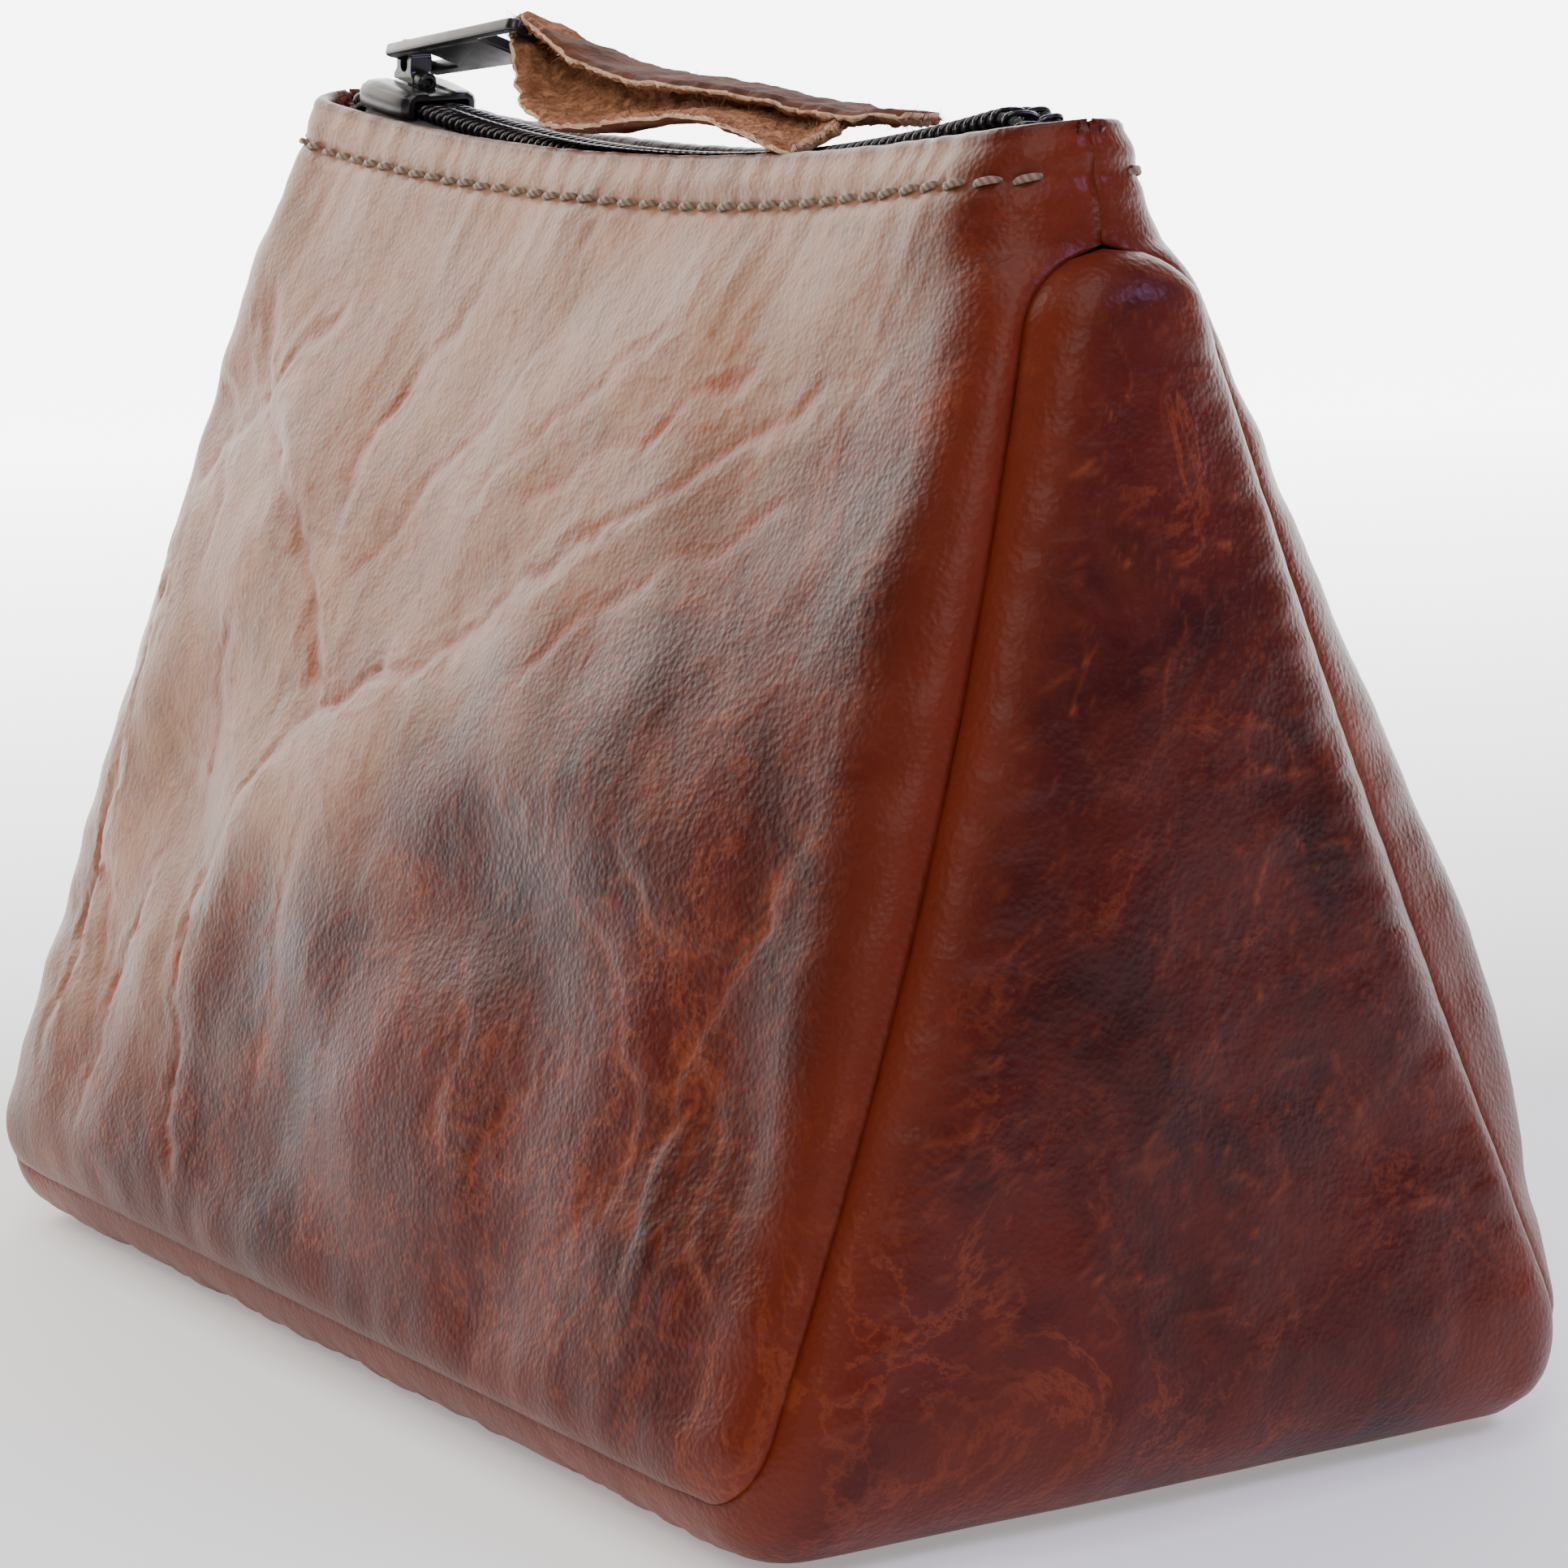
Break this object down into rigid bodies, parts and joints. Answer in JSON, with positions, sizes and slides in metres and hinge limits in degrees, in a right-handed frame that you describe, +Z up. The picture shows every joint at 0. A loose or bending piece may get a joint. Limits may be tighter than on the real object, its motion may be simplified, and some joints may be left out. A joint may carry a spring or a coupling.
{
  "type": "shaving kit bag",
  "caption": "Soft leather wash bag with a triangular-ended gusset, a sagging coil zip along the top and a slider with a leather pull strap",
  "frame": {"origin": "middle of the flat base, on the surface it stands on", "axes": "+X along the zip towards the end it opens to, -Y out of the front panel, +Z up"},
  "size_m": [0.2478, 0.1288, 0.1821],
  "materials": {
    "leather": "oiled pull-up leather, red-brown with lighter creases, satin",
    "lining": "dark woven lining cloth, matte",
    "zip_tape": "black woven zip tape, matte",
    "zip_coil": "black glossy moulded coil",
    "slider_metal": "black enamelled die-cast metal, glossy, with paler worn edges",
    "strap_suede": "rough suede flesh side out, smooth dark brown grain side under",
    "thread": "taupe waxed sewing thread"
  },
  "bodies": {
    "bag": {"front_panel": "leather", "back_panel": "leather", "gusset_strip": "leather", "front_lining": "lining", "back_lining": "lining", "gusset_lining": "lining", "front_zip_tape": "zip_tape", "back_zip_tape": "zip_tape", "front_zip_coil": "zip_coil", "back_zip_coil": "zip_coil", "front_coil_cord": "zip_tape", "back_coil_cord": "zip_tape", "front_top_stitching": "thread", "back_top_stitching": "thread", "front_gusset_thread": "thread", "back_gusset_thread": "thread", "left_side_thread": "thread", "right_side_thread": "thread"},
    "slider": {"slider_body": "slider_metal", "slider_crown": "slider_metal"},
    "pull": {"puller": "slider_metal"},
    "strap": {"pull_strap": "strap_suede"}
  },
  "joints": [
    {"name": "zip_travel", "type": "hinge", "parent": "bag", "child": "slider", "pos_m": [0, 0, 0.6395], "axis": [0, -1, 0], "range_deg": [0, 18.68]},
    {"name": "pull_swing", "type": "hinge", "parent": "slider", "child": "pull", "pos_m": [-0.07864, 0, 0.1743], "axis": [0.0609, -0.9272, 0.3696], "range_deg": [0, 130]},
    {"name": "strap_swing", "type": "hinge", "parent": "pull", "child": "strap", "pos_m": [-0.04471, 0.00362, 0.17778], "axis": [0.0609, -0.9272, 0.3696], "range_deg": [0, 30]}
  ]
}
